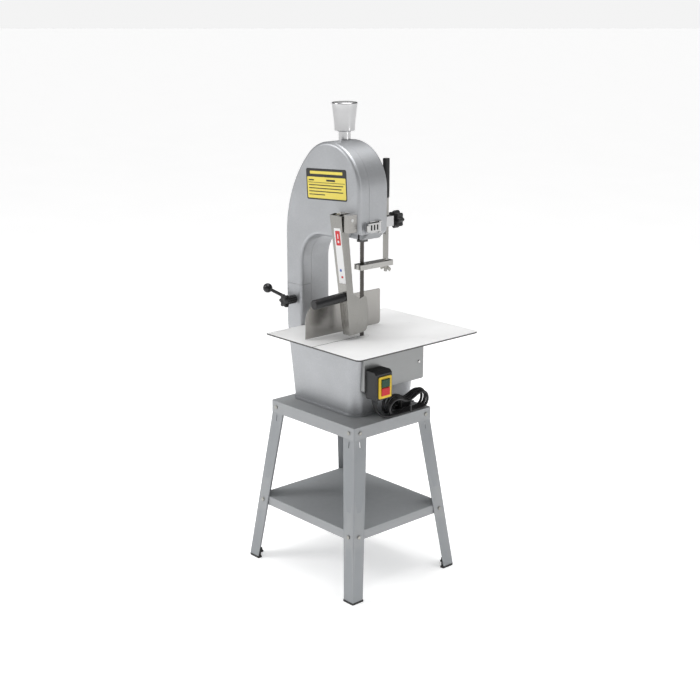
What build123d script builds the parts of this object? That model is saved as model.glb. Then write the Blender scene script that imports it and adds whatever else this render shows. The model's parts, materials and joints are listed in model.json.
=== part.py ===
from build123d import *
import os
from math import pi, cos, sin, tan, radians, degrees, atan2, hypot, sqrt

os.makedirs("parts", exist_ok=True)

# ---------------------------------------------------------------- driving sizes (mm)
# Frame: X to the cutting side, Y from the front door to the back, Z up. Heights below are
# counted from a datum, and put() raises every node so that the feet stand on Z = 0.
FLOOR = -58.0                            # the floor, below the datum
STAND_CX, STAND_CY = -24.0, 5.0          # centre of the stand
STAND_TOP_X, STAND_TOP_Y = 362.0, 300.0  # top pan
STAND_H = 438.0                          # height of the stand's top face
STAND_FLANGE, STAND_SHEET = 36.0, 1.5
SHELF_Z, SHELF_FLANGE = 143.0, 27.0
FOOT_GROW = 54.0                         # how far the feet splay beyond the top pan
LEG_TOP_W, LEG_BOT_W, LEG_SHEET = 46.0, 38.0, 2.0

BASE_X0, BASE_X1 = -188.0, 106.0         # base casting at its top
BASE_Y0, BASE_Y1 = -99.0, 165.0
BASE_TAPER = 15.0                        # each side draws in by this much at the bottom
BASE_TOP = 668.0
BASE_WALL = 5.0
TABLE_X0, TABLE_X1, TABLE_Y = -118.0, 268.0, 230.0
TABLE_T = 4.0
TABLE_TOP = BASE_TOP + TABLE_T

WHEEL_D = 206.0                          # both band wheels
BAND_L, BAND_W, BAND_T = 1650.0, 16.0, 0.6
WHEEL_X = -21.0
WHEEL_Y = -50.0                          # mid plane of the band
LOWER_Z = STAND_H + 20.0 + WHEEL_D / 2
CENTRES = (BAND_L - pi * WHEEL_D) / 2
UPPER_Z = LOWER_Z + CENTRES
BLADE_X = WHEEL_X + WHEEL_D / 2
RETURN_X = WHEEL_X - WHEEL_D / 2

DOOR_Y, SEAM_Y, BODY_Y = -99.0, -62.0, 8.0
COL_X0, COL_X1 = -188.0, -118.0
HEAD_BOT, THROAT_TOP = 966.0, 945.0
ARCH_R, ARCH_Z = 125.0, 1081.0
SHOULDER_R, SHOULDER_C = 340.0, (152.0, 929.0)
THROAT_R = 84.0
COVER_TOP = 790.0                        # joint between lower cover and door

POST_X, POST_Y = 92.0, 31.0
LEVER_X, LEVER_Z, PINION_R = -149.0, 745.0, 25.0
FENCE_X = 18.0
PUSH_Y, PUSH_Z = -116.0, 1008.0          # pusher pin
CORD_D = 7.5


def put(name, *shapes):
    """Write one node; several shapes become separate solids of that node."""
    solids = [s for shape in shapes for s in shape.solids()]
    solids = [Pos(0, 0, -FLOOR) * s for s in solids]
    body = solids[0] if len(solids) == 1 else Compound(children=solids)
    body.label = name
    export_step(body, f"parts/{name}.step")
    box = body.bounding_box()
    print(f"{name:22s} {len(solids):3d}  {box.min.X:7.1f} {box.max.X:7.1f} "
          f"{box.min.Y:7.1f} {box.max.Y:7.1f} {box.min.Z:7.1f} {box.max.Z:7.1f}")


def block(x0, x1, y0, y1, z0, z1):
    size = abs(x1 - x0), abs(y1 - y0), abs(z1 - z0)
    return Pos((x0 + x1) / 2, (y0 + y1) / 2, (z0 + z1) / 2) * Box(*size)


def rod(axis, x, y, z, r, length):
    """Cylinder that starts at the point and runs along the axis letter."""
    turn = {"X": Rot(0, 90, 0), "Y": Rot(-90, 0, 0), "Z": Rot(0, 0, 0)}[axis[0]]
    flip = -1 if axis.endswith("-") else 1
    return Pos(x, y, z) * turn * Pos(0, 0, flip * length / 2) * Cylinder(r, length)


def tube(axis, x, y, z, r_out, r_in, length):
    return rod(axis, x, y, z, r_out, length) - rod(axis, x, y, z, r_in, length)


def face_xz(points):
    """Closed straight-sided face in the XZ plane at Y = 0."""
    return make_face(Polyline(*[(x, 0, z) for x, z in points], close=True))


def slab_y(face, y0, y1):
    """Sweep an XZ face from y0 to y1."""
    return extrude(Pos(0, y0, 0) * face, y1 - y0, dir=(0, 1, 0))


def slab_x(points, x0, x1):
    """Sweep a YZ polygon from x0 to x1."""
    face = make_face(Polyline(*[(x0, y, z) for y, z in points], close=True))
    return extrude(face, x1 - x0, dir=(1, 0, 0))


def pan(cx, cy, lx, ly, z_top, flange, sheet):
    """Folded sheet pan, open downward, with rounded vertical edges."""
    outer = Pos(cx, cy, z_top - flange / 2) * Box(lx, ly, flange)
    outer = fillet(outer.edges().filter_by(Axis.Z), 4)
    outer = fillet(outer.edges().group_by(Axis.Z)[-1], 1.2)
    inner = Pos(cx, cy, z_top - sheet - flange / 2)
    return outer - inner * Box(lx - 2 * sheet, ly - 2 * sheet, flange)


# ---------------------------------------------------------------- stand
CORNERS = [(-1, -1, "fl"), (1, -1, "fr"), (1, 1, "br"), (-1, 1, "bl")]
SPLAY_Z = STAND_H - STAND_FLANGE         # the legs run straight down to here, then splay
LEG_BOTTOM, PAD_T = FLOOR + 6.0, 5.7
BOLT_R, BOLT_HOLE_R, BOLT_HEAD_R = 2.9, 3.1, 5.6


def leg_corner(sx, sy, z):
    """Outer corner of a leg at height z."""
    grow = FOOT_GROW * max(0.0, SPLAY_Z - z) / (SPLAY_Z - FLOOR) - STAND_SHEET - 0.3
    return STAND_CX + sx * (STAND_TOP_X / 2 + grow), STAND_CY + sy * (STAND_TOP_Y / 2 + grow)


def leg_section(sx, sy, z, width):
    x, y = leg_corner(sx, sy, z)
    ring = [(0, 0), (width, 0), (width, LEG_SHEET), (LEG_SHEET, LEG_SHEET), (LEG_SHEET, width), (0, width)]
    return make_face(Polyline(*[(x - sx * a, y - sy * b, z) for a, b in ring], close=True))


def cross_bolt(axis, sign, x, y, z, grip):
    """Pan-head bolt whose head sits on the outer face, with its nut and its hole."""
    out, back = (axis, axis + "-") if sign > 0 else (axis + "-", axis)
    head = rod(out, x, y, z, BOLT_HEAD_R, 3.0)
    rim = head.edges().sort_by(Axis.X if axis == "X" else Axis.Y)[-1 if sign > 0 else 0]
    head = fillet(rim, 1.6)
    nx, ny = (x - sign * grip, y) if axis == "X" else (x, y - sign * grip)
    turn = Rot(0, -90 * sign, 0) if axis == "X" else Rot(90 * sign, 0, 0)
    nut = Pos(nx, ny, z) * turn * extrude(RegularPolygon(5.6, 6), 4.5)
    hole = rod(back, x, y, z, BOLT_HOLE_R, grip + 12)
    nut -= rod(back, x + (sign * 9 if axis == "X" else 0), y + (sign * 9 if axis == "Y" else 0),
               z, BOLT_R + 0.05, grip + 30)
    return head + rod(back, x, y, z, BOLT_R, grip + 7), nut, hole


stand_top = pan(STAND_CX, STAND_CY, STAND_TOP_X, STAND_TOP_Y, STAND_H, STAND_FLANGE, STAND_SHEET)
grow = FOOT_GROW * (SPLAY_Z - SHELF_Z) / (SPLAY_Z - FLOOR) - STAND_SHEET - LEG_SHEET - 0.7
shelf = pan(STAND_CX, STAND_CY, STAND_TOP_X + 2 * grow, STAND_TOP_Y + 2 * grow,
            SHELF_Z, SHELF_FLANGE, STAND_SHEET)
legs, stand_bolts, stand_nuts, foot_caps = {}, [], [], []
for sx, sy, tag in CORNERS:
    top_z = STAND_H - STAND_SHEET - 0.3
    leg = extrude(leg_section(sx, sy, SPLAY_Z, LEG_TOP_W), top_z - SPLAY_Z, dir=(0, 0, 1))
    leg += loft([leg_section(sx, sy, LEG_BOTTOM, LEG_BOT_W), leg_section(sx, sy, SPLAY_Z, LEG_TOP_W)])
    for bolt_z in (STAND_H - 18, SHELF_Z - 14):
        x, y = leg_corner(sx, sy, bolt_z)
        upper = bolt_z > SPLAY_Z
        skin = STAND_SHEET + 0.35 if upper else 0.65
        grip = skin + LEG_SHEET + (0.6 if upper else 5.0)
        for axis, sign, px, py in (("X", sx, x + sx * skin, y - sy * 20), ("Y", sy, x - sx * 20, y + sy * skin)):
            bolt, nut, hole = cross_bolt(axis, sign, px, py, bolt_z, grip)
            stand_bolts.append(bolt)
            stand_nuts.append(nut)
            leg -= hole
            if upper:
                stand_top -= hole
            else:
                shelf -= hole
    for dx, dy in ((22, 0), (0, 22)):    # punched slots below the top pan
        slot_z = STAND_H - 52
        x, y = leg_corner(sx, sy, slot_z)
        leg -= Pos(x - sx * dx, y - sy * dy, slot_z) * Box(12 if dy else 3.4, 12 if dx else 3.4, 18)
    legs[tag] = leg
    x, y = leg_corner(sx, sy, LEG_BOTTOM)
    pad = Pos(x - sx * 20, y - sy * 20, FLOOR + PAD_T / 2) * Box(42, 42, PAD_T)
    pad = fillet(pad.edges().filter_by(Axis.Z), 3)
    pad += Pos(x - sx * 21, y - sy * 21, FLOOR + 9) * Box(32, 32, 12)
    pad -= Pos(x - sx * 27, y - sy * 27, FLOOR + 10) * Box(30.5, 30.5, 24)
    foot_caps.append(pad)


# ---------------------------------------------------------------- base casting
def taper_box(inset, z0, z1, corner=34.0):
    """Rounded box whose four sides draw in toward the bottom, shrunk by inset."""
    faces = []
    for z in (z0, z1):
        d = BASE_TAPER * (BASE_TOP - z) / (BASE_TOP - STAND_H) + inset
        lx, ly = BASE_X1 - BASE_X0 - 2 * d, BASE_Y1 - BASE_Y0 - 2 * d
        r = corner - inset
        faces.append(Pos((BASE_X0 + BASE_X1) / 2, (BASE_Y0 + BASE_Y1) / 2, z) * RectangleRounded(lx, ly, r))
    return loft(faces)


base = taper_box(0, STAND_H + 0.5, BASE_TOP)
lip = taper_box(-3, STAND_H + 0.5, STAND_H + 7)
column_corner = block(BASE_X0 - 5, BASE_X0 + 45, BASE_Y0 - 5, BASE_Y0 + 45, STAND_H, BASE_TOP)
base = base + lip + (taper_box(0, STAND_H + 0.5, BASE_TOP, 11) & column_corner)
base += taper_box(-3, STAND_H + 0.5, STAND_H + 7, 11) & column_corner
inner = taper_box(BASE_WALL, STAND_H - 5, BASE_TOP + 5)
bulkhead = block(BASE_X0, BASE_X1, -31, -25, STAND_H + 4, BASE_TOP - 12) & taper_box(1, STAND_H, BASE_TOP)
bulkhead -= block(RETURN_X - 40, RETURN_X + 14, -32, -24, 640, 670)
rim = taper_box(0, BASE_TOP - 8, BASE_TOP) - taper_box(18, BASE_TOP - 20, BASE_TOP + 5)
rim -= block(BLADE_X - 14, BLADE_X + 12, -70, -28, 600, 700)
base = (base - inner) + bulkhead + rim
for x in (BASE_X0 + 45, BASE_X1 - 45):   # feet for the four hold-down bolts
    for y in (BASE_Y0 + 38, BASE_Y1 - 38):
        base += (Pos(x, y, STAND_H + 7) * Box(54, 54, 13)) & taper_box(1, STAND_H + 0.5, BASE_TOP)
hold_bolts = []
for x in (BASE_X0 + 52, BASE_X1 - 52):
    for y in (BASE_Y0 + 45, BASE_Y1 - 45):
        base -= rod("Z", x, y, STAND_H - 5, 4.6, 30)
        shank = rod("Z", x, y, STAND_H - 12, 3.95, 33)
        hold_bolts.append(shank + Pos(x, y, STAND_H + 14) * extrude(RegularPolygon(7.4, 6), 5.5))
        stand_top -= rod("Z", x, y, STAND_H - 5, 4.6, 10)

MOTOR_X, MOTOR_Z = WHEEL_X, LOWER_Z
base -= rod("Y", MOTOR_X, -40, MOTOR_Z, 36.2, 30)
for k in range(4):
    a = radians(45 + 90 * k)
    base -= rod("Y", MOTOR_X + 52 * cos(a), -40, MOTOR_Z + 52 * sin(a), 3.3, 30)
for y in range(4):                       # cooling slots in the back wall
    base -= block(-70, 30, BASE_Y1 - 30, BASE_Y1 + 5, 520 + 22 * y, 528 + 22 * y)

# access panel on the cutting side
PANEL_X, PANEL_Y0, PANEL_Y1, PANEL_Z0, PANEL_Z1 = 112.0, -66.0, 166.0, 514.0, 660.0
panel = block(PANEL_X - 2.5, PANEL_X, PANEL_Y0, PANEL_Y1, PANEL_Z0, PANEL_Z1)
panel += block(88, PANEL_X - 1, PANEL_Y0, PANEL_Y1, PANEL_Z0, PANEL_Z1)
panel -= block(80, PANEL_X - 2.5, PANEL_Y0 + 2.5, PANEL_Y1 - 2.5, PANEL_Z0 + 2.5, PANEL_Z1 - 2.5)
panel = fillet(panel.edges().filter_by(Axis.X).sort_by(Axis.Z)[0:2], 5)
panel -= taper_box(-0.4, STAND_H, BASE_TOP + 1)
panel = panel.solids().sort_by(SortBy.VOLUME)[-1]
panel_screws = []
for y, z in ((PANEL_Y0 + 14, 645), (PANEL_Y1 - 14, 645), (148, 566), (30, 640)):
    hole = rod("X-", PANEL_X + 1, y, z, 2.3, 40)
    panel -= hole
    base -= rod("X-", PANEL_X + 1, y, z, 2.3, 40)
    screw = fillet(rod("X", PANEL_X + 0.1, y, z, 4.4, 2.2).edges().sort_by(Axis.X)[-1], 1.2)
    panel_screws.append(screw + rod("X-", PANEL_X + 0.5, y, z, 2.1, 24))
deck = block(BASE_X0, TABLE_X0 + 4, BASE_Y0, BASE_Y1, BASE_TOP - 8, BASE_TOP) & taper_box(1, STAND_H, BASE_TOP)
deck -= block(-177, COL_X1 - 3.5, -88, -14, 600, 700)
base = base + deck
COLUMN_BOLTS = [(-175.0, -4.5), (-129.5, -4.5)]
for x, y in COLUMN_BOLTS:
    base -= rod("Z", x, y, 600, 4.3, 100)

# ---------------------------------------------------------------- work table
table = block(COL_X1 + 0.6, TABLE_X1, -TABLE_Y, TABLE_Y, BASE_TOP, TABLE_TOP)
table = fillet(table.edges().filter_by(Axis.Z).group_by(Axis.X)[-1], 14)
table = fillet(table.edges().filter_by(Axis.Z).group_by(Axis.X)[0], 3)
table -= rod("Z", BLADE_X, WHEEL_Y, BASE_TOP - 1, 16.5, 10) + rod("Z", BLADE_X, WHEEL_Y, TABLE_TOP - 2, 20.9, 5)
table -= block(BLADE_X - 1.3, BLADE_X + 1.3, -TABLE_Y - 1, WHEEL_Y, BASE_TOP - 1, TABLE_TOP + 1)
insert = rod("Z", BLADE_X, WHEEL_Y, TABLE_TOP - 2, 20.6, 2)
insert -= block(BLADE_X - 1.2, BLADE_X + 1.9, -75, WHEEL_Y + 11, 660, 680)
stiffener = block(198, 220, -150, 150, BASE_TOP - 3, BASE_TOP) + block(198, 201, -150, 150, BASE_TOP - 22, BASE_TOP)
table_screws = []
for x, y in ((209, -62), (209, 60), (-60, 156), (60, 156)):
    head = Pos(x, y, TABLE_TOP - 1.25) * Cone(2.0, 4.5, 2.5)
    screw = head + rod("Z", x, y, BASE_TOP - 8, 2.0, 11)
    table_screws.append(screw)
    cut = Pos(x, y, TABLE_TOP - 1.2) * Cone(2.1, 4.7, 2.6) + rod("Z", x, y, BASE_TOP - 9, 2.2, 12)
    table -= cut
    stiffener -= cut
    base -= cut

# ---------------------------------------------------------------- column and head
THROAT_C = (COL_X1 + THROAT_R, THROAT_TOP - THROAT_R)


def head_face(d, z_bottom, floor):
    """Side view of column and head in XZ, drawn in by d; floor lists the head's underside."""
    cx, cz = SHOULDER_C
    px, pz = -ARCH_R * sin(radians(45)), ARCH_Z + ARCH_R * sin(radians(45))
    k = (ARCH_R - d) / ARCH_R
    shoulder_end = (px * k, ARCH_Z + (pz - ARCH_Z) * k)
    r2 = hypot(shoulder_end[0] - cx, shoulder_end[1] - cz)
    mid_a = radians(180 - 22.5)
    up = [(COL_X0 + d, z_bottom), (cx - r2, cz)]
    mid2 = (cx + r2 * cos(mid_a), cz + r2 * sin(mid_a))
    top_mid = ((ARCH_R - d) * cos(radians(67.5)), ARCH_Z + (ARCH_R - d) * sin(radians(67.5)))
    right = (ARCH_R - d, ARCH_Z)
    under = [(x - d if x > 100 else x, z + d) for x, z in floor]
    tx, tz, tr = THROAT_C[0], THROAT_C[1], THROAT_R + d
    p3 = lambda q: (q[0], 0, q[1])
    edges = [Line(p3(up[0]), p3(up[1])),
             ThreePointArc(p3(up[1]), p3(mid2), p3(shoulder_end)),
             ThreePointArc(p3(shoulder_end), p3(top_mid), p3(right))]
    chain = [right] + under + [(tx, tz + tr)]
    edges += [Line(p3(a), p3(b)) for a, b in zip(chain, chain[1:])]
    edges += [ThreePointArc(p3((tx, tz + tr)), p3((tx - tr * cos(radians(45)), tz + tr * sin(radians(45)))),
                            p3((tx - tr, tz))),
              Line(p3((tx - tr, tz)), p3((tx - tr, z_bottom))),
              Line(p3((tx - tr, z_bottom)), p3(up[0]))]
    return make_face(Wire(edges))


BODY_FLOOR = [(ARCH_R, HEAD_BOT + 2), (98, THROAT_TOP)]
DOOR_FLOOR = [(ARCH_R, HEAD_BOT), (66, HEAD_BOT), (44, THROAT_TOP)]
body = slab_y(head_face(0, BASE_TOP, BODY_FLOOR), SEAM_Y + 0.3, BODY_Y)
back_edges = body.edges().group_by(Axis.Y)[-1]
try:
    body = fillet(back_edges.sort_by(Axis.Z)[2:], 9)
except Exception as error:
    print("back fillet skipped", error)
body -= slab_y(head_face(3.5, BASE_TOP - 5, BODY_FLOOR), SEAM_Y - 1, BODY_Y - 5)
front_lip = slab_y(head_face(0, BASE_TOP, BODY_FLOOR), SEAM_Y + 0.3, SEAM_Y + 2.5)
body += front_lip & block(40, 123, -70, -50, THROAT_TOP - 5, HEAD_BOT + 1.5)
body -= block(BLADE_X - 3, BLADE_X + 4, -63, -38, 930, 975)
body -= rod("Z", WHEEL_X, -20, 1150, 6.4, 80)
body += block(-184.8, -170, -12, 4, BASE_TOP, 700) + block(-136, -121.2, -12, 4, BASE_TOP, 700)
body += rod("Y", LEVER_X, -11, LEVER_Z, 13, 15)
body -= rod("Y", LEVER_X, -12, LEVER_Z, 7.05, 12)
column_bolts = []
for x, y in COLUMN_BOLTS:
    body -= rod("Z", x, y, 600, 4.05, 92)
    column_bolts.append(rod("Z", x, y, 651, 3.98, 39) + rod("Z", x, y, 652, 5.8, 7.5))
BAR_Y0, BAR_Y1, BAR_Z0, BAR_Z1 = -31.0, -19.0, 706.0, 722.0
bar_window = block(-200, -110, BAR_Y0 - 1, BAR_Y1 + 1, BAR_Z0 - 1, BAR_Z1 + 1)
body -= bar_window & (block(-190, -183, -62, 8, 600, 800) + block(-123, -116, -62, 8, 600, 800))
for z in (682, 752):
    body += block(-184.8, -177, -61.6, -55, z, z + 16) + block(-183.7, -177, -78, -61.6, z, z + 16)

door = slab_y(head_face(0, COVER_TOP + 0.3, DOOR_FLOOR), DOOR_Y, SEAM_Y - 0.3)
front = door.edges().group_by(Axis.Y)[0]
for radius in (11, 7, 4):
    try:
        door = fillet(front.sort_by(Axis.Z)[1:], radius)
        print("door front fillet", radius)
        break
    except Exception as error:
        print("door fillet", radius, "failed")
door -= slab_y(head_face(4, COVER_TOP + 4.3, DOOR_FLOOR), DOOR_Y + 4, SEAM_Y + 1)

cover = block(COL_X0, COL_X1, DOOR_Y, SEAM_Y - 0.3, BASE_TOP + 0.1, COVER_TOP - 0.3)
cover = fillet(cover.edges().filter_by(Axis.Z).group_by(Axis.Y)[0], 11)
cover -= block(COL_X0 + 4, COL_X1 - 3.5, DOOR_Y + 4, SEAM_Y + 1, BASE_TOP - 1, COVER_TOP - 4)
cover += rod("Y", LEVER_X, DOOR_Y + 2, LEVER_Z, 13, 12)
cover -= rod("Y", LEVER_X, DOOR_Y - 5, LEVER_Z, 7.05, 40)
cover_screws = []
for z in (690, 760):
    hole = rod("X", -190, -70, z, 2.2, 16)
    cover, body = cover - hole, body - hole
    head = fillet(rod("X-", -188.1, -70, z, 4.2, 2).edges().sort_by(Axis.X)[0], 1.1)
    cover_screws.append(head + rod("X", -189, -70, z, 2.0, 13))

# door hinges: knuckles outside the left side, one pair on each leaf
HINGE_X, HINGE_Y = -195.0, -62.0
hinge_pins = []
for z in (826.0, 944.0):
    low = rod("Z", HINGE_X, HINGE_Y, z, 6, 17.7) + block(HINGE_X, COL_X0 + 3, HINGE_Y + 0.6, -46, z, z + 17.7)
    high = rod("Z", HINGE_X, HINGE_Y, z + 18, 6, 18) + block(HINGE_X, COL_X0 + 3, -78, HINGE_Y - 0.6, z + 18, z + 36)
    hole = rod("Z", HINGE_X, HINGE_Y, z - 2, 3.05, 42)
    body += low - block(COL_X0 + 3.4, -150, -80, -40, z, z + 20)
    door += high
    body, door = body - hole, door - hole
    pin = rod("Z", HINGE_X, HINGE_Y, z, 3.0, 36.6) + rod("Z", HINGE_X, HINGE_Y, z + 36.3, 4.6, 2)
    hinge_pins.append(pin)

# latch across the seam, under the head's right edge
LATCH_Z0, LATCH_Z1 = 970.0, 998.0
keeper = block(ARCH_R + 0.0, ARCH_R + 2, -76, -63.5, LATCH_Z0 - 2, LATCH_Z1 + 2)
keeper += block(ARCH_R, ARCH_R + 6, -70.5, -66, LATCH_Z0 + 4, LATCH_Z1 - 4)
door += keeper
latch_base = block(ARCH_R, ARCH_R + 2, -60, -20, LATCH_Z0 - 2, LATCH_Z1 + 2)
for z in (LATCH_Z0 - 2, LATCH_Z1 - 1):
    latch_base += block(ARCH_R, ARCH_R + 11, -35, -25, z, z + 3)
latch_base += rod("Z", ARCH_R + 7, -30, LATCH_Z0 - 2, 1.5, 32)
latch = rod("Z", ARCH_R + 7, -30, LATCH_Z0 + 1.3, 3.6, 25.4)
latch += block(ARCH_R + 7, ARCH_R + 10, -74.5, -30, LATCH_Z0 + 2, LATCH_Z1 - 2)
latch += block(ARCH_R + 7, ARCH_R + 16, -84, -73, LATCH_Z0 + 6, LATCH_Z1 - 6) - \
    block(ARCH_R + 6, ARCH_R + 13, -90, -74.5, LATCH_Z0, LATCH_Z1)
latch -= rod("Z", ARCH_R + 7, -30, LATCH_Z0 - 5, 1.6, 50)


# ---------------------------------------------------------------- band wheels, motor, blade
def band_wheel(z, bore):
    r = WHEEL_D / 2
    wheel = rod("Y", WHEEL_X, -59, z, r, 17.6) + rod("Y", WHEEL_X, -41.7, z, r + 2, 2.2)
    wheel -= rod("Y", WHEEL_X, -60, z, r - 9, 7.5) + rod("Y", WHEEL_X, -46, z, r - 9, 8)
    wheel += rod("Y", WHEEL_X, -61, z, 24, 21)
    for k in range(5):
        a = radians(90 + 72 * k)
        wheel -= rod("Y", WHEEL_X + 58 * cos(a), -62, z + 58 * sin(a), 19, 30)
    return wheel - rod("Y", WHEEL_X, -65, z, bore, 40)


upper_wheel = band_wheel(UPPER_Z, 13.03)
bearings = [tube("Y", WHEEL_X, y, UPPER_Z, 13.0, 6.03, 8) for y in (-60.5, -49)]
axle = rod("Y", WHEEL_X, -61.2, UPPER_Z, 6.0, 56) + rod("Y", WHEEL_X, -64.5, UPPER_Z, 9, 3.4)
carriage = block(WHEEL_X - 30, WHEEL_X + 30, -34, 2.6, UPPER_Z - 34, UPPER_Z + 42)
carriage -= rod("Y", WHEEL_X, -36, UPPER_Z, 6.03, 31) + rod("Z", WHEEL_X, -20, UPPER_Z + 8, 6.05, 50)
for s in (-1, 1):                        # slideways cast on the back wall
    body += block(WHEEL_X + s * 30.3, WHEEL_X + s * 43, -38, 4, UPPER_Z - 62, UPPER_Z + 60)
    body += block(WHEEL_X + s * 25, WHEEL_X + s * 43, -38, -34.3, UPPER_Z - 62, UPPER_Z + 60)
SCREW_LOW, SCREW_TOP, STEM_TOP = UPPER_Z + 22, 1270.0, 1228.0
screw = rod("Z", WHEEL_X, -20, SCREW_LOW, 6.0, SCREW_TOP - SCREW_LOW)
screw += rod("Z", WHEEL_X, -20, 1180, 12, 8)
stem = tube("Z", WHEEL_X, -20, 1190, 17, 6.1, STEM_TOP - 1190)
stem -= slab_y(head_face(-0.05, BASE_TOP, BODY_FLOOR), -60, 7)
outline = Polyline((0, 0), (25, 0)) + ThreePointArc((25, 0), (27.5, 1), (28.5, 3.5))
outline += Spline((28.5, 3.5), (30, 28), (33, 54), (36, 74), tangents=((0, 1), (0.25, 1)))
outline += ThreePointArc((36, 74), (35.3, 77.2), (32, 78.5)) + Polyline((32, 78.5), (0, 78.5), (0, 0))
knob = Pos(WHEEL_X, -20, STEM_TOP + 0.4) * Rot(90, 0, 0) * revolve(make_face(outline), Axis.Y)
knob -= rod("Z", WHEEL_X, -20, STEM_TOP - 5, 6.03, SCREW_TOP - STEM_TOP + 5.2)

lower_wheel = band_wheel(LOWER_Z, 8.03)
rotor = rod("Y", WHEEL_X, -62, LOWER_Z, 8.0, 169) + rod("Y", WHEEL_X, 0, LOWER_Z, 55, 70)
motor = tube("Y", WHEEL_X, -24.9, LOWER_Z, 64, 57, 136) + rod("Y", WHEEL_X, -24.9, LOWER_Z, 66, 8)
motor += rod("Y", WHEEL_X, -31, LOWER_Z, 36, 12)
motor += rod("Y", WHEEL_X, 104, LOWER_Z, 64, 7.1)
for k in range(4):
    a = radians(45 + 90 * k)
    motor -= rod("Y", MOTOR_X + 52 * cos(a), -40, MOTOR_Z + 52 * sin(a), 3.13, 30)
motor -= rod("Y", WHEEL_X, -40, LOWER_Z, 8.05, 155)
motor_bolts = []
for k in range(4):
    x, z = MOTOR_X + 52 * cos(radians(45 + 90 * k)), MOTOR_Z + 52 * sin(radians(45 + 90 * k))
    motor_bolts.append(rod("Y", x, -31.1, z, 3.1, 18) + rod("Y", x, -34.5, z, 5.4, 3.4))

def band_face(r):
    arc_top = ThreePointArc((WHEEL_X + r, 0, UPPER_Z), (WHEEL_X, 0, UPPER_Z + r), (WHEEL_X - r, 0, UPPER_Z))
    arc_low = ThreePointArc((WHEEL_X - r, 0, LOWER_Z), (WHEEL_X, 0, LOWER_Z - r), (WHEEL_X + r, 0, LOWER_Z))
    sides = [Line((WHEEL_X - r, 0, UPPER_Z), (WHEEL_X - r, 0, LOWER_Z)),
             Line((WHEEL_X + r, 0, LOWER_Z), (WHEEL_X + r, 0, UPPER_Z))]
    return make_face(Wire([arc_top, sides[0], arc_low, sides[1]]))


R_IN = WHEEL_D / 2 + 0.05
band = slab_y(band_face(R_IN + BAND_T), WHEEL_Y - BAND_W / 2, WHEEL_Y + BAND_W / 2)
band -= slab_y(band_face(R_IN), WHEEL_Y - BAND_W, WHEEL_Y + BAND_W)
head_guide = block(74, 92, -61, -36, THROAT_TOP - 7, THROAT_TOP - 0.1)
head_guide -= block(BLADE_X - 0.6, BLADE_X + 1.3, -62, -41.5, 930, 950)

# ---------------------------------------------------------------- blade guide post and arm
ARM_Z0, ARM_Z1 = 863.0, 877.0
post = block(POST_X - 6, POST_X + 6, POST_Y - 5, POST_Y + 5, ARM_Z1 + 0.1, 1148)
post += rod("Z", POST_X, POST_Y, 846, 4.95, 40)
grip = rod("Z", POST_X, POST_Y, 1052, 9.5, 108)
grip = fillet(grip.edges().filter_by(GeomType.CIRCLE), 2.5)
grip -= block(POST_X - 6.05, POST_X + 6.05, POST_Y - 5.05, POST_Y + 5.05, 1050, 1149)
clamp = block(76, 108, BODY_Y + 0.1, 48, 974, 1002)
clamp = fillet(clamp.edges().filter_by(Axis.Z).group_by(Axis.Y)[-1], 3)
clamp -= block(POST_X - 6.1, POST_X + 6.1, POST_Y - 5.1, POST_Y + 5.1, 960, 1010)
clamp -= rod("Y", POST_X, 30, 988, 5.06, 30)
clamp_screws = []
for x, z in ((81, 980), (81, 996)):
    hole = rod("Y-", x, 50, z, 2.55, 60)
    clamp, body = clamp - hole, body - hole
    clamp_screws.append(rod("Y", x, 48.05, z, 4.2, 2.6) + rod("Y-", x, 49, z, 2.45, 53))


def lobe_knob(lobes, r_mid, r_lobe, thick):
    """Lobed hand knob, its back face on the XY plane, growing along +Z."""
    disc = Cylinder(r_mid, thick, align=(Align.CENTER, Align.CENTER, Align.MIN))
    for k in range(lobes):
        a = 2 * pi * k / lobes
        disc += Pos(r_mid * cos(a), r_mid * sin(a), 0) * Cylinder(
            r_lobe, thick, align=(Align.CENTER, Align.CENTER, Align.MIN))
    return disc


clamp_knob = Pos(POST_X, 58, 988) * Rot(-90, 0, 0) * lobe_knob(8, 19.5, 5.5, 24)
clamp_knob += rod("Y", POST_X, 48.4, 988, 7, 10)
clamp_knob += rod("Y", POST_X, POST_Y + 5.4, 988, 5.0, 36)
arm = block(72, 104, -72, 52, ARM_Z0, ARM_Z1)
arm = fillet(arm.edges().filter_by(Axis.Z), 5)
arm -= rod("Z", POST_X, POST_Y, 850, 5.0, 40)
arm -= block(BLADE_X - 1.6, BLADE_X + 2.2, -80, -40, 860, 880) + block(76.5, 87.5, -42.2, -24, 860, 880)
arm -= rod("X", 60, -33.2, 870, 2.55, 60)
roller = rod("X", 78.5, -33.2, 870, 8, 7) + rod("X", 73, -33.2, 870, 2.5, 30)
wing = rod("Z", POST_X, POST_Y, ARM_Z0 - 8.4, 8, 8)
for s in (-1, 1):
    wing += Pos(POST_X + s * 12, POST_Y, ARM_Z0 - 7) * Rot(0, s * 28, 0) * Box(17, 3.2, 9)
wing -= rod("Z", POST_X, POST_Y, 840, 4.98, 30) + block(60, 120, 20, 44, ARM_Z0 - 0.3, ARM_Z0 + 20)

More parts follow.
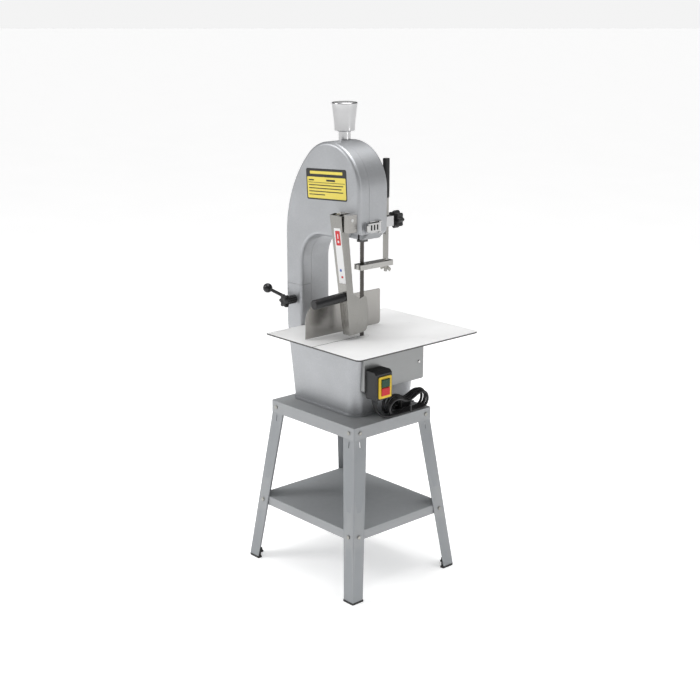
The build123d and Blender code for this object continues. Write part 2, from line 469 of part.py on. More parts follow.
# ---------------------------------------------------------------- slice-thickness plate, rack and lever
PLATE_Z0, PLATE_Z1 = TABLE_TOP + 3, TABLE_TOP + 106
plate_face = make_face(Polyline((FENCE_X - 1, -200, PLATE_Z0), (FENCE_X - 1, 80, PLATE_Z0),
                                (FENCE_X - 1, 80, PLATE_Z1), (FENCE_X - 1, -200, PLATE_Z1), close=True))
fence = extrude(plate_face, 2, dir=(1, 0, 0))
fence = fillet(fence.edges().filter_by(Axis.X).sort_by(lambda e: e.center().Y - e.center().Z)[0], 58)
fence = fillet(fence.edges().filter_by(Axis.X).sort_by(lambda e: e.center().Y - e.center().Z)[-1], 10)
fence = fillet(fence.edges().filter_by(Axis.X).sort_by(lambda e: e.center().Y + e.center().Z)[-1], 5)
RACK_PITCH = 2 * pi * PINION_R / 20
BAR_X0 = -196.0
rack = block(BAR_X0, FENCE_X - 5, BAR_Y0, BAR_Y1, BAR_Z0, BAR_Z1)
rack += block(FENCE_X - 5, FENCE_X - 1, -52, 2, 692, 738)
for k in range(-6, 12):
    x = LEVER_X + k * RACK_PITCH
    gap = make_face(Polyline((x - 2.9, 0, BAR_Z1 + 0.5), (x + 2.9, 0, BAR_Z1 + 0.5),
                             (x + 1.7, 0, BAR_Z1 - 4.6), (x - 1.7, 0, BAR_Z1 - 4.6), close=True))
    rack -= slab_y(gap, BAR_Y0 - 1, BAR_Y1 + 1)
body += block(-168, -130, -33.5, 4, 697, 712) - block(-170, -128, BAR_Y0 - 0.3, BAR_Y1 + 0.3, BAR_Z0 - 0.3, 730)
pinion = rod("Y", LEVER_X, BAR_Y0, LEVER_Z, PINION_R - 2.6, 12)
tooth = face_xz([(PINION_R - 4, -1.7), (PINION_R + 1.9, -0.75), (PINION_R + 1.9, 0.75), (PINION_R - 4, 1.7)])
for k in range(20):
    pinion += Pos(LEVER_X, 0, LEVER_Z) * Rot(0, 90 + 18 * k, 0) * slab_y(tooth, BAR_Y0, BAR_Y1)
pinion += rod("Y", LEVER_X, BAR_Y0 - 8, LEVER_Z, 12, 10)
lever_shaft = rod("Y", LEVER_X, -128, LEVER_Z, 7.0, 126)
HUB_Y0, HUB_Y1 = -126.0, DOOR_Y - 0.4
hub = rod("Y", LEVER_X, HUB_Y0, LEVER_Z, 12.5, HUB_Y1 - HUB_Y0)
for k in range(12):
    a = radians(30 * k)
    hub -= rod("Y", LEVER_X + 13.6 * cos(a), HUB_Y0 - 1, LEVER_Z + 13.6 * sin(a), 2.0, 22)
LEVER_A = radians(171)
BALL = (LEVER_X + 106.3 * cos(LEVER_A), -114.0, LEVER_Z + 106.3 * sin(LEVER_A))
lever_rod = Pos(50.1, 0, 0) * Rot(0, 90, 0) * Cylinder(4, 84.2)
lever_rod = Pos(LEVER_X, -114, LEVER_Z) * Rot(0, -degrees(LEVER_A), 0) * lever_rod
hub = hub + lever_rod - rod("Y", LEVER_X, -150, LEVER_Z, 7.03, 60)
ball = Pos(*BALL) * Sphere(14)
star = Pos(LEVER_X, HUB_Y0 - 2.4, LEVER_Z) * Rot(90, 0, 0) * lobe_knob(6, 14, 6, 15)
star -= rod("Y", LEVER_X, HUB_Y0 - 12, LEVER_Z, 3.53, 14)
star_stud = rod("Y", LEVER_X, HUB_Y0 - 11.5, LEVER_Z, 3.5, 9.5)
lever_shaft += star_stud + pinion

# ---------------------------------------------------------------- pusher
PLATE_Y = DOOR_Y - 3
bracket = block(46, 117, PLATE_Y, DOOR_Y - 0.05, 974, 1022)
bracket += block(96, 117, -128, PLATE_Y, 974, 1022) - rod("X", 90, PUSH_Y, PUSH_Z, 1, 30)
ear = block(62, 76, -127, PLATE_Y, 994, 1021)
bracket += ear & (rod("X", 60, PUSH_Y, PUSH_Z, 14.0, 20) + block(60, 80, PUSH_Y, PLATE_Y, 990, 1025))
bracket = bracket - rod("X", 40, PUSH_Y, PUSH_Z, 5.03, 90)
pusher_pin = rod("X", 42, PUSH_Y, PUSH_Z, 5.0, 75.5) + rod("X-", 43.3, PUSH_Y, PUSH_Z, 8, 3)
bracket_screws = []
for x, z in ((52, 982), (88, 982), (52, 1016), (88, 1016)):
    hole = rod("Y", x, -104, z, 2.3, 12)
    bracket, door = bracket - hole, door - hole
    bracket_screws.append(rod("Y-", x, PLATE_Y - 0.1, z, 4.0, 2.2) + rod("Y", x, PLATE_Y - 1, z, 2.1, 11))

web = [(45, 10), (92, 10), (105.5, -320), (78, -320)]
push_arm = slab_y(face_xz([(x, PUSH_Z + w) for x, w in web]), PUSH_Y - 17, PUSH_Y - 15)
flange = [(-17, 10), (0, 12), (6, 10.5), (10, 6), (12, 0), (10, -8), (5, -18), (7, -206), (15, -214), (29, -225),
          (47, -220), (54, -226), (58, -262), (54, -300), (44, -317), (34, -320), (-17, -320)]
slim = [(-17, 10), (0, 12), (6, 10.5), (10, 6), (12, 0), (10, -8), (5, -18), (4, -320), (-17, -320)]


def side_sheet(points, x_top, x_bottom, side):
    """2 mm sheet in YZ that follows a sloping fold line of the arm."""
    lean = atan2(x_bottom - x_top, 330)
    sheet = slab_x([(PUSH_Y + v, PUSH_Z + (w - 10) / cos(lean) + 10) for v, w in points],
                   min(0, side * 2), max(0, side * 2))
    hinge = Pos(x_top, 0, PUSH_Z + 10)
    return hinge * Rot(0, -degrees(lean), 0) * Pos(0, 0, -PUSH_Z - 10) * sheet


trim = block(30, 130, -200, 0, PUSH_Z - 320, PUSH_Z + 30)
push_arm += side_sheet(flange, 92, 105.5, -1) & trim
push_arm += side_sheet(slim, 45, 78, 1) & trim
push_arm -= rod("X", 30, PUSH_Y, PUSH_Z, 5.06, 90)
GRIP_X, GRIP_Z = 86.5, PUSH_Z - 213
handle = rod("Y-", GRIP_X, PUSH_Y - 17.1, GRIP_Z, 13.5, 107)
handle = fillet(handle.edges().filter_by(GeomType.CIRCLE), 2)
handle += rod("Y-", GRIP_X, PUSH_Y - 11, GRIP_Z, 4.0, 8)
push_arm -= rod("Y-", GRIP_X, PUSH_Y - 10, GRIP_Z, 4.1, 20)
PUSH_LEAN = 3.2
lean = Pos(0, PUSH_Y, PUSH_Z) * Rot(PUSH_LEAN, 0, 0) * Pos(0, -PUSH_Y, -PUSH_Z)
push_arm, handle = lean * push_arm, lean * handle

# ---------------------------------------------------------------- switch box
SW_X0, SW_X1, SW_Y0, SW_Y1, SW_Z0, SW_Z1 = PANEL_X + 0.1, 152.0, -60.0, 2.0, 497.0, 581.0
switch = block(SW_X0, SW_X1, SW_Y0, SW_Y1, SW_Z0, SW_Z1)
switch = chamfer(switch.edges().filter_by(Axis.Y).group_by(Axis.Z)[-1].sort_by(Axis.X)[-1], 9)
switch = fillet(switch.edges().filter_by(Axis.X), 4)
FRAME_Y0, FRAME_Y1, FRAME_Z0, FRAME_Z1 = -50.0, -2.0, 502.0, 565.0
BTN_Y0, BTN_Y1 = -41.0, -11.0
GREEN_Z, RED_Z = (534.5, 557.0), (510.0, 532.5)
for z0, z1 in (GREEN_Z, RED_Z):
    switch -= block(SW_X1 - 14, SW_X1 + 1, BTN_Y0 - 0.5, BTN_Y1 + 0.5, z0 - 0.5, z1 + 0.5)
frame = block(SW_X1 + 0.05, SW_X1 + 3, FRAME_Y0, FRAME_Y1, FRAME_Z0, FRAME_Z1)
frame = fillet(frame.edges().filter_by(Axis.X), 4)
buttons = []
for z0, z1 in (GREEN_Z, RED_Z):
    frame -= block(SW_X1 - 1, SW_X1 + 5, BTN_Y0 - 0.5, BTN_Y1 + 0.5, z0 - 0.5, z1 + 0.5)
    button = block(SW_X1 - 6, SW_X1 + 7, BTN_Y0, BTN_Y1, z0, z1)
    buttons.append(fillet(button.edges().group_by(Axis.X)[-1], 1.5))
GLAND_X, GLAND_Y = 133.0, -46.0
gland = tube("Z", GLAND_X, GLAND_Y, SW_Z0 - 14, 8.5, CORD_D / 2 + 0.3, 14) + \
    tube("Z", GLAND_X, GLAND_Y, SW_Z0, 6.5, CORD_D / 2 + 0.3, 12)
switch = switch - rod("Z", GLAND_X, GLAND_Y, SW_Z0 - 2, 6.4, 16) + gland

# ---------------------------------------------------------------- mains lead
REST_Z = STAND_H + CORD_D / 2 + 0.35
HANK_X, HANK_Y, HANK_L, HANK_W, HANK_H = 138.0, 72.0, 156.0, 40.0, 53.0
cord_points = [(GLAND_X, GLAND_Y, SW_Z0 - 2), (GLAND_X, GLAND_Y, SW_Z0 - 21),
               (GLAND_X + 5, GLAND_Y + 5, SW_Z0 - 39), (GLAND_X + 13, GLAND_Y + 19, REST_Z + 3),
               (GLAND_X + 20, GLAND_Y + 39.6, REST_Z)]
PLUG_X, PLUG_Y, PLUG_Z = 106.0, 92.0, STAND_H + 12
tail_points = [(HANK_X - HANK_W / 2 + 3, 10, REST_Z), (112, 26, REST_Z + 1), (107, 41, REST_Z + 4),
               (PLUG_X, PLUG_Y - 37, PLUG_Z)]


def bend_radii(points):
    radii = []
    for a, b, c in zip(points, points[1:], points[2:]):
        u, v = Vector(b) - Vector(a), Vector(c) - Vector(b)
        turn = radians(u.get_angle(v))
        radii.append(0.45 * min(u.length, v.length) / tan(turn / 2))
    return radii


def lead(points):
    """Round tube along straight runs joined by tangent arcs."""
    radii = bend_radii(points)
    path = FilletPolyline(*points, radius=radii)
    tube_solid = sweep(Plane(origin=path @ 0, z_dir=path % 0) * Circle(CORD_D / 2), path=path)
    print("lead radii", [round(r, 1) for r in radii], "length", round(path.length, 1),
          "volume", round(tube_solid.volume, 1), "of", round(path.length * pi * CORD_D ** 2 / 4, 1))
    return tube_solid


cord, tail = lead(cord_points), lead(tail_points)
hank = extrude(RectangleRounded(HANK_W, HANK_L, 18), HANK_H)
hank = Pos(HANK_X, HANK_Y, STAND_H + 0.35) * fillet(hank.edges().group_by(Axis.Z)[-1], 9)
tail -= hank
plug = block(PLUG_X - 9.5, PLUG_X + 9.5, PLUG_Y - 26, PLUG_Y + 20, STAND_H + 0.3, STAND_H + 24)
plug = fillet(plug.edges().filter_by(Axis.Y), 6)
plug = plug + rod("Y-", PLUG_X, PLUG_Y - 25, STAND_H + 12, 6.0, 12)
for dx in (-4.0, 4.0):
    plug += rod("Y", PLUG_X + dx, PLUG_Y + 19, STAND_H + 12, 2.4, 19)
tail -= plug

# ---------------------------------------------------------------- write the nodes
for tag, leg in legs.items():
    put(f"stand_leg_{tag}", leg)
for name, shapes in {
    "stand_top": [stand_top], "stand_shelf": [shelf], "stand_feet": foot_caps,
    "stand_bolts": stand_bolts, "stand_nuts": stand_nuts,
    "base_box": [base], "frame_bolts": hold_bolts + column_bolts + motor_bolts, "side_panel": [panel],
    "worktable": [table], "throat_insert": [insert], "table_stiffener": [stiffener], "table_screws": table_screws,
    "column_head": [body], "lower_cover": [cover], "case_screws": panel_screws + cover_screws + clamp_screws,
    "door": [door], "hinge_pins": hinge_pins, "latch_base": [latch_base],
    "latch_lever": [latch],
    "upper_wheel": [upper_wheel], "wheel_bearings": bearings, "upper_axle": [axle], "tension_slide": [carriage],
    "tension_screw": [screw], "tension_stem": [stem], "tension_knob": [knob],
    "lower_wheel": [lower_wheel], "motor_rotor": [rotor], "motor_housing": [motor],
    "saw_band": [band], "head_blade_guide": [head_guide],
    "guide_post": [post], "guide_post_grip": [grip], "post_clamp": [clamp],
    "clamp_knob": [clamp_knob], "guide_arm": [arm], "guide_roller": [roller],
    "guide_wing_nut": [wing],
}.items():
    put(name, *shapes)
for name, shapes in {
    "fence_plate": [fence], "fence_rack": [rack],
    "lever_shaft": [lever_shaft], "lever_hub": [hub], "lever_ball": [ball], "star_knob": [star],
    "pusher_bracket": [bracket], "bracket_screws": bracket_screws, "pusher_pin": [pusher_pin],
    "pusher_arm": [push_arm], "pusher_handle": [handle],
    "switch_box": [switch], "switch_frame": [frame], "button_green": [buttons[0]], "button_red": [buttons[1]],
    "mains_cord": [cord, tail], "cord_hank": [hank], "mains_plug": [plug],
}.items():
    put(name, *shapes)
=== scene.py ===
import json
from math import cos, pi, radians, sin

import bmesh
import bpy
from mathutils import Matrix, Vector


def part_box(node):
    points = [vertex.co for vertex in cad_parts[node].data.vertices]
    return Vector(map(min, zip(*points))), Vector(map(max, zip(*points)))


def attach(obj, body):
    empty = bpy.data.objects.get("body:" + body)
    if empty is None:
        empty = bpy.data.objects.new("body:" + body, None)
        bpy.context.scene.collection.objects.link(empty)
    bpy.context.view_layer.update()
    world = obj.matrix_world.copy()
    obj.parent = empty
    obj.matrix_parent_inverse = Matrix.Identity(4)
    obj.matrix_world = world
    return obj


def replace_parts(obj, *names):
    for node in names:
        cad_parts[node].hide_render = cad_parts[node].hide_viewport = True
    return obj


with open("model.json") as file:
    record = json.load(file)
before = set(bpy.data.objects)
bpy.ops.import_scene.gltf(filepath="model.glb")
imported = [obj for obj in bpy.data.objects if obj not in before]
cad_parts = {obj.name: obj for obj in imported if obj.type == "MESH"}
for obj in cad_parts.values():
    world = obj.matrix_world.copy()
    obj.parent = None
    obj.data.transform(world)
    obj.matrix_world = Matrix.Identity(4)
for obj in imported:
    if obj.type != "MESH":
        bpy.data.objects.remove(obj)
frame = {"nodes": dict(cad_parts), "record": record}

for spare in ("Cube", "Light", "Camera"):
    if spare in bpy.data.objects:
        bpy.data.objects.remove(bpy.data.objects[spare], do_unlink=True)
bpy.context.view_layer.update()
MM = 0.001
NODES = frame["nodes"]


# ---------------------------------------------------------------- shader graph helpers
def add(tree, kind, inputs=None, **fields):
    """New shader node; inputs are values or sockets by input name or number."""
    node = tree.nodes.new(kind)
    for key, value in fields.items():
        setattr(node, key, value)
    for key, value in (inputs or {}).items():
        if isinstance(value, bpy.types.NodeSocket):
            tree.links.new(value, node.inputs[key])
        else:
            node.inputs[key].default_value = value
    return node


def start(name):
    """Empty material with its tree, surface shader and object coordinates."""
    material = bpy.data.materials.new(name)
    material.use_nodes = True
    tree = material.node_tree
    coords = add(tree, "ShaderNodeTexCoord").outputs["Object"]
    return material, tree, tree.nodes["Principled BSDF"], coords


def noise(tree, coords, scale, detail=4.0, stretch=None):
    """Noise factor; stretch scales the three axes first, for streaks."""
    if stretch:
        coords = add(tree, "ShaderNodeMapping", {"Vector": coords, "Scale": stretch}).outputs[0]
    return add(tree, "ShaderNodeTexNoise", {"Vector": coords, "Scale": scale, "Detail": detail}).outputs[0]


def spread(tree, factor, low, high):
    """Maps a noise factor, mostly 0.3 to 0.7, to low..high."""
    fields = {"Value": factor, "From Min": 0.3, "From Max": 0.7, "To Min": low, "To Max": high}
    return add(tree, "ShaderNodeMapRange", fields).outputs[0]


def blend_colour(tree, factor, first, second):
    node = add(tree, "ShaderNodeMix", {0: factor}, data_type="RGBA")
    for index, value in ((6, first), (7, second)):
        if isinstance(value, bpy.types.NodeSocket):
            tree.links.new(value, node.inputs[index])
        else:
            node.inputs[index].default_value = (*value, 1.0)
    return node.outputs[2]


def shaded(colour, share):
    return tuple(min(1.0, c * share) for c in colour)


def edge_factor(tree, share):
    """Near share on convex edges and 0 elsewhere."""
    point = add(tree, "ShaderNodeNewGeometry").outputs["Pointiness"]
    fields = {"Value": point, "From Min": 0.52, "From Max": 0.60, "To Min": 0.0, "To Max": 1.0}
    edges = add(tree, "ShaderNodeMapRange", fields).outputs[0]
    return add(tree, "ShaderNodeMath", {0: edges, 1: share}, operation="MULTIPLY").outputs[0]


def upward(tree):
    """How far a face's normal points up, 1 on a level top."""
    normal = add(tree, "ShaderNodeNewGeometry").outputs["Normal"]
    return add(tree, "ShaderNodeSeparateXYZ", {0: normal}).outputs[2]


def relief(tree, shader, height, depth, soften=0.0):
    """Bump from a height factor; soften rounds the edges in the shading."""
    inputs = {"Height": height, "Strength": 0.6, "Distance": depth}
    if soften:
        inputs["Normal"] = add(tree, "ShaderNodeBevel", {"Radius": soften}, samples=4).outputs[0]
    bump = add(tree, "ShaderNodeBump", inputs)
    tree.links.new(bump.outputs[0], shader.inputs["Normal"])


def metal(name, colour, rough, grain_scale, grain=(1, 1, 1), depth=0.00004, soften=0.0006, metallic=1.0,
          wear=0.25, sparkle=0.0, coat=0.0):
    """Bare or lacquered metal with a directional grain, cloudy tone and brighter edges."""
    material, tree, shader, coords = start(name)
    clouds = noise(tree, coords, 9.0, 5.0)
    streaks = noise(tree, coords, grain_scale, 6.0, grain)
    tone = blend_colour(tree, spread(tree, clouds, 0.0, 1.0), shaded(colour, 0.92), shaded(colour, 1.06))
    lines = blend_colour(tree, spread(tree, streaks, 0.0, 1.0), (0.96, 0.96, 0.96), (1.03, 1.03, 1.03))
    fields = {0: 1.0, 6: tone, 7: lines}
    mixed = add(tree, "ShaderNodeMix", fields, data_type="RGBA", blend_type="MULTIPLY").outputs[2]
    if sparkle:
        flakes = add(tree, "ShaderNodeTexVoronoi", {"Vector": coords, "Scale": 900.0}).outputs["Color"]
        grey = add(tree, "ShaderNodeRGBToBW", {"Color": flakes}).outputs[0]
        fields = {"Value": grey, "From Min": 0.55, "From Max": 0.9, "To Min": 0.0, "To Max": sparkle}
        lit = add(tree, "ShaderNodeMapRange", fields).outputs[0]
        mixed = blend_colour(tree, lit, mixed, (0.95, 0.95, 0.96))
    final = blend_colour(tree, edge_factor(tree, wear), mixed, shaded(colour, 1.35))
    tree.links.new(final, shader.inputs["Base Color"])
    tree.links.new(spread(tree, streaks, rough * 0.93, rough * 1.08), shader.inputs["Roughness"])
    shader.inputs["Metallic"].default_value = metallic
    shader.inputs["Coat Weight"].default_value = coat
    shader.inputs["Coat Roughness"].default_value = 0.25
    relief(tree, shader, streaks, depth, soften)
    return material


def paint(name, colour, rough, peel=0.00005, wear=0.3):
    """Sprayed paint: orange peel, faint dust on top faces and rubbed edges."""
    material, tree, shader, coords = start(name)
    clouds = noise(tree, coords, 6.0, 6.0)
    skin = noise(tree, coords, 420.0, 3.0)
    scuffs = noise(tree, coords, 60.0, 8.0, (1, 1, 0.25))
    tone = blend_colour(tree, spread(tree, clouds, 0.0, 1.0), shaded(colour, 0.95), shaded(colour, 1.05))
    fields = {"Value": upward(tree), "From Min": 0.6, "From Max": 1.0, "To Min": 0.0, "To Max": 0.10}
    dust = add(tree, "ShaderNodeMapRange", fields).outputs[0]
    dusty = blend_colour(tree, dust, tone, (0.72, 0.72, 0.70))
    rubbed = blend_colour(tree, edge_factor(tree, wear), dusty, (0.45, 0.45, 0.45))
    tree.links.new(rubbed, shader.inputs["Base Color"])
    tree.links.new(spread(tree, scuffs, rough * 0.85, rough * 1.2), shader.inputs["Roughness"])
    relief(tree, shader, skin, peel, soften=0.0008)
    return material


def plastic(name, colour, rough, grain=700.0, depth=0.00002, fade=0.04):
    """Moulded plastic or rubber: fine mould texture, cloudy gloss and paler rubbed edges."""
    material, tree, shader, coords = start(name)
    clouds = noise(tree, coords, 14.0, 5.0)
    skin = noise(tree, coords, grain, 4.0)
    pale = tuple(c + (1 - c) * fade * 0.5 for c in colour)
    tone = blend_colour(tree, spread(tree, clouds, 0.0, 0.6), colour, pale)
    rubbed = blend_colour(tree, edge_factor(tree, fade), tone, (0.55, 0.55, 0.55))
    tree.links.new(rubbed, shader.inputs["Base Color"])
    tree.links.new(spread(tree, clouds, rough * 0.8, rough * 1.2), shader.inputs["Roughness"])
    shader.inputs["Specular IOR Level"].default_value = 0.35
    relief(tree, shader, skin, depth, soften=0.0007)
    return material


# ---------------------------------------------------------------- finishes, one per material slot
SILVER = (0.40, 0.41, 0.425)
STEEL = (0.37, 0.36, 0.345)
FINISH = {
    "stand_paint": paint("stand_paint", (0.30, 0.315, 0.33), 0.42),
    "foot_rubber": plastic("foot_rubber", (0.018, 0.018, 0.018), 0.75, grain=900.0, depth=0.00008),
    "zinc_steel": metal("zinc_steel", (0.36, 0.355, 0.33), 0.34, grain_scale=500.0),
    "silver_casting": metal("silver_casting", SILVER, 0.43, grain_scale=900.0, depth=0.00002, soften=0.0010,
                            metallic=0.72, wear=0.15, sparkle=0.12, coat=0.15),
    "stainless": metal("stainless", STEEL, 0.27, grain=(60, 1, 60), grain_scale=16.0, depth=0.00002),
    "bright_steel": metal("bright_steel", (0.58, 0.58, 0.575), 0.14, grain=(1, 1, 20), grain_scale=40.0,
                          depth=0.00001),
    "cast_wheel": metal("cast_wheel", (0.42, 0.43, 0.44), 0.48, grain_scale=300.0, depth=0.00012),
    "slide_iron": metal("slide_iron", (0.10, 0.10, 0.105), 0.50, grain_scale=260.0, depth=0.00015,
                        soften=0.0008, metallic=0.9),
    "turned_aluminium": metal("turned_aluminium", (0.55, 0.55, 0.555), 0.20, grain=(1, 1, 60),
                              grain_scale=12.0, depth=0.00001),
    "motor_paint": paint("motor_paint", (0.035, 0.04, 0.05), 0.45),
    "guide_plastic": plastic("guide_plastic", (0.06, 0.06, 0.06), 0.45),
    "black_plastic": plastic("black_plastic", (0.012, 0.012, 0.013), 0.42),
    "black_gloss": plastic("black_gloss", (0.010, 0.010, 0.011), 0.22, grain=300.0, depth=0.00001),
    "switch_black": plastic("switch_black", (0.014, 0.015, 0.017), 0.48, grain=1100.0, depth=0.00006),
    "switch_yellow": plastic("switch_yellow", (0.82, 0.56, 0.015), 0.34, grain=800.0, fade=0.05),
    "button_green": plastic("button_green", (0.001, 0.055, 0.022), 0.26, grain=500.0, depth=0.00001,
                            fade=0.05),
    "button_red": plastic("button_red", (0.62, 0.015, 0.02), 0.26, grain=500.0, depth=0.00001, fade=0.05),
    "cord_rubber": plastic("cord_rubber", (0.012, 0.012, 0.013), 0.36, grain=1500.0, depth=0.00003),
}


def table_skin_with_shaded_sides():
    """White enamelled top; its side faces are painted near black as shade."""
    material = paint("table_white_shaded_sides", (0.89, 0.89, 0.89), 0.34, peel=0.00001, wear=0.0)
    tree = material.node_tree
    shader = tree.nodes["Principled BSDF"]
    skin = shader.inputs["Base Color"].links[0].from_socket
    fields = {"Value": upward(tree), "From Min": 0.55, "From Max": 0.8}
    painted_side_shade_mix = add(tree, "ShaderNodeMapRange", fields).outputs[0]
    # painted shade: faces that don't point up blend to near black, top faces keep the white skin
    tree.links.new(blend_colour(tree, painted_side_shade_mix, (0.055, 0.055, 0.055), skin), shader.inputs["Base Color"])
    return material


def brushed(name, colour, rough, grain, grain_scale=16.0, depth=0.00002, **finish):
    """Sheet or bar stock with its grain along one axis."""
    return metal(name, colour, rough, grain_scale, grain=grain, depth=depth, **finish)


TABLE_SKIN_WITH_SHADED_SIDES = table_skin_with_shaded_sides()
OWN_FINISH = {  # nodes that look different from their material slot
    "worktable": TABLE_SKIN_WITH_SHADED_SIDES,
    "throat_insert": TABLE_SKIN_WITH_SHADED_SIDES,
    "table_screws": TABLE_SKIN_WITH_SHADED_SIDES,
    "fence_plate": brushed("plate_steel", STEEL, 0.25, (1, 1, 60)),
    "pusher_arm": brushed("pusher_steel", (0.30, 0.295, 0.28), 0.26, (50, 50, 1)),
    "side_panel": brushed("panel_steel", (0.28, 0.285, 0.285), 0.36, (1, 1, 50), grain_scale=18.0,
                          soften=0.0010, metallic=0.9),
    "guide_arm": brushed("arm_steel", (0.42, 0.415, 0.40), 0.16, (1, 50, 1), depth=0.00001),
    "guide_post": brushed("post_steel", (0.34, 0.335, 0.32), 0.20, (60, 60, 1), depth=0.00001),
}


def paint_node(name, slot_name):
    slots = NODES[name].data.materials
    finish = OWN_FINISH.get(name, FINISH[slot_name])
    if len(slots) == 0:
        slots.append(finish)
    for index in range(len(slots)):
        slots[index] = finish


for part in frame["record"]["subparts"]:
    paint_node(part["node"], part["material_slot"])


# ---------------------------------------------------------------- mesh helpers
SHARP_ANGLE = radians(35)
MERGE_DISTANCE = 1e-7


def make_piece(name, work, finish, body, smooth=True):
    """Turns a bmesh into a piece that rides on a body."""
    bmesh.ops.remove_doubles(work, verts=work.verts, dist=MERGE_DISTANCE)
    bmesh.ops.recalc_face_normals(work, faces=work.faces)
    data = bpy.data.meshes.new(name)
    work.to_mesh(data)
    work.free()
    data.materials.append(finish)
    piece = bpy.data.objects.new(name, data)
    bpy.context.scene.collection.objects.link(piece)
    if smooth:
        data.polygons.foreach_set("use_smooth", [True] * len(data.polygons))
        data.set_sharp_from_angle(angle=SHARP_ANGLE)
    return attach(piece, body)


def skin_rings(work, rings, closed=False):
    """Faces from ring to ring, and either two end caps or a last strip back to the first ring."""
    following = rings[1:] + rings[:1] if closed else rings[1:]
    count = len(rings[0])
    for first, second in zip(rings, following):
        for k in range(count):
            j = (k + 1) % count
            work.faces.new((first[k], first[j], second[j], second[k]))
    if not closed:
        work.faces.new(rings[0][::-1])
        work.faces.new(rings[-1])


def lathe(work, profile, place, segments, lobes=0):
    """Turned surface: profile holds (offset, radius, lobe share) in mm; place maps its Z axis."""
    rings = []
    for offset, radius, share in profile:
        ring = []
        for k in range(segments):
            a = 2 * pi * k / segments
            r = radius * (1 + share * cos(lobes * a))
            ring.append(work.verts.new(place @ (Vector((r * cos(a), r * sin(a), offset)) * MM)))
        rings.append(ring)
    skin_rings(work, rings)


def along(origin, direction):
    """Placement whose Z axis points along direction."""
    return Matrix.Translation(origin) @ Vector(direction).to_track_quat("Z", "Y").to_matrix().to_4x4()


def facing(origin, across, outward):
    """Placement whose X axis is across and whose Z axis is outward."""
    across, outward = Vector(across), Vector(outward)
    basis = Matrix((across, outward.cross(across), outward)).transposed()
    return Matrix.Translation(origin) @ basis.to_4x4()


def rounded_outline(half_x, half_y, radius, steps=6):
    points = []
    for cx, cy, first in ((1, 1, 0), (-1, 1, 90), (-1, -1, 180), (1, -1, 270)):
        for k in range(steps + 1):
            a = radians(first + 90 * k / steps)
            x = cx * (half_x - radius) + radius * cos(a)
            y = cy * (half_y - radius) + radius * sin(a)
            points.append((x, y))
    return points


def plate(name, place, size, radius, thick, finish, body):
    """Rounded plate with a chamfered rim, on the XY plane of place, sizes in mm."""
    chamfer = thick / 4
    work = bmesh.new()
    rings = []
    for z, inset in ((0.0, 0.0), (thick - chamfer, 0.0), (thick, chamfer)):
        outline = rounded_outline(size[0] / 2 - inset, size[1] / 2 - inset, max(radius - inset, 0.02))
        rings.append([work.verts.new(place @ (Vector((x, y, z)) * MM)) for x, y in outline])
    skin_rings(work, rings)
    return make_piece(name, work, finish, body, smooth=False)


def middle(node):
    low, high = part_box(node)
    return (low + high) / 2


# ---------------------------------------------------------------- toothed saw band
BAND_STEEL = brushed("band_steel", (0.085, 0.08, 0.075), 0.34, (60, 60, 1), grain_scale=20.0, depth=0.00001,
                     soften=0.0)
BAND_THICK, TOOTH_PITCH, GULLET = 0.58 * MM, 6.0 * MM, 2.6 * MM
# share of the pitch, depth from the tip
TOOTH = ((0.0, 0.0), (0.22, GULLET * 0.9), (0.42, GULLET), (0.75, GULLET * 0.55))


def band_station(s, straight, radius, centre_x, low_z, high_z):
    """Point and outward direction at distance s round the loop of two wheels."""
    half_turn = pi * radius
    if s < straight:
        return Vector((centre_x + radius, 0, low_z + s)), Vector((1, 0, 0))
    s -= straight
    if s < half_turn:
        a = s / radius
        return Vector((centre_x + radius * cos(a), 0, high_z + radius * sin(a))), Vector((cos(a), 0, sin(a)))
    s -= half_turn
    if s < straight:
        return Vector((centre_x - radius, 0, high_z - s)), Vector((-1, 0, 0))
    a = pi + (s - straight) / radius
    return Vector((centre_x + radius * cos(a), 0, low_z + radius * sin(a))), Vector((cos(a), 0, sin(a)))


def make_band():
    low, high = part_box("saw_band")
    outer = (high.x - low.x) / 2
    centre_x = (low.x + high.x) / 2
    low_z, high_z = low.z + outer, high.z - outer
    straight = high_z - low_z
    length = 2 * straight + 2 * pi * outer
    teeth = round(length / TOOTH_PITCH)
    work = bmesh.new()
    rings = []
    for k in range(teeth):
        for share, depth in TOOTH:
            distance = (k + share) * length / teeth
            point, out = band_station(distance, straight, outer, centre_x, low_z, high_z)
            front, back = low.y + depth, high.y
            ring = []
            for y, inward in ((front, 0.0), (back, 0.0), (back, BAND_THICK), (front, BAND_THICK)):
                ring.append(work.verts.new(Vector((point.x, y, point.z)) - out * inward))
            rings.append(ring)
    skin_rings(work, rings, closed=True)
    piece = make_piece("toothed_band", work, BAND_STEEL, "frame")
    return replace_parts(piece, "saw_band")


make_band()


# ---------------------------------------------------------------- hand knobs and lever
CLAMP_KNOB_DEPTH = 33.6
CLAMP_KNOB = ((-11.5, 4.9, 0), (0, 4.9, 0), (0, 7, 0), (9.4, 7, 0), (9.5, 15, 0.02), (9.8, 19.5, 0.10),
              (11.4, 21.7, 0.12), (14.0, 22.2, 0.125), (28.5, 22.2, 0.125), (31.4, 21.2, 0.12),
              (33.1, 18.0, 0.09), (CLAMP_KNOB_DEPTH, 13.0, 0.03), (33.0, 8.0, 0), (32.2, 7.0, 0),
              (32.2, 0.4, 0))
STAR_KNOB = ((0, 3.6, 0), (0, 10, 0.03), (0.5, 13.5, 0.14), (2.2, 16.2, 0.20), (4.0, 16.6, 0.20),
             (11.5, 16.6, 0.20), (13.6, 15.4, 0.18), (14.8, 11.5, 0.08), (15.0, 7.0, 0), (14.2, 5.5, 0),
             (14.2, 0.3, 0))
HUB_GAP, BALL_GAP = 12.9, 13.2  # lever axis to sleeve, and sleeve to the ball's centre
RIDGE_PITCH, SLEEVE_R, RIDGE_R, SLEEVE_END_R = 3.0, 4.1, 4.75, 4.06


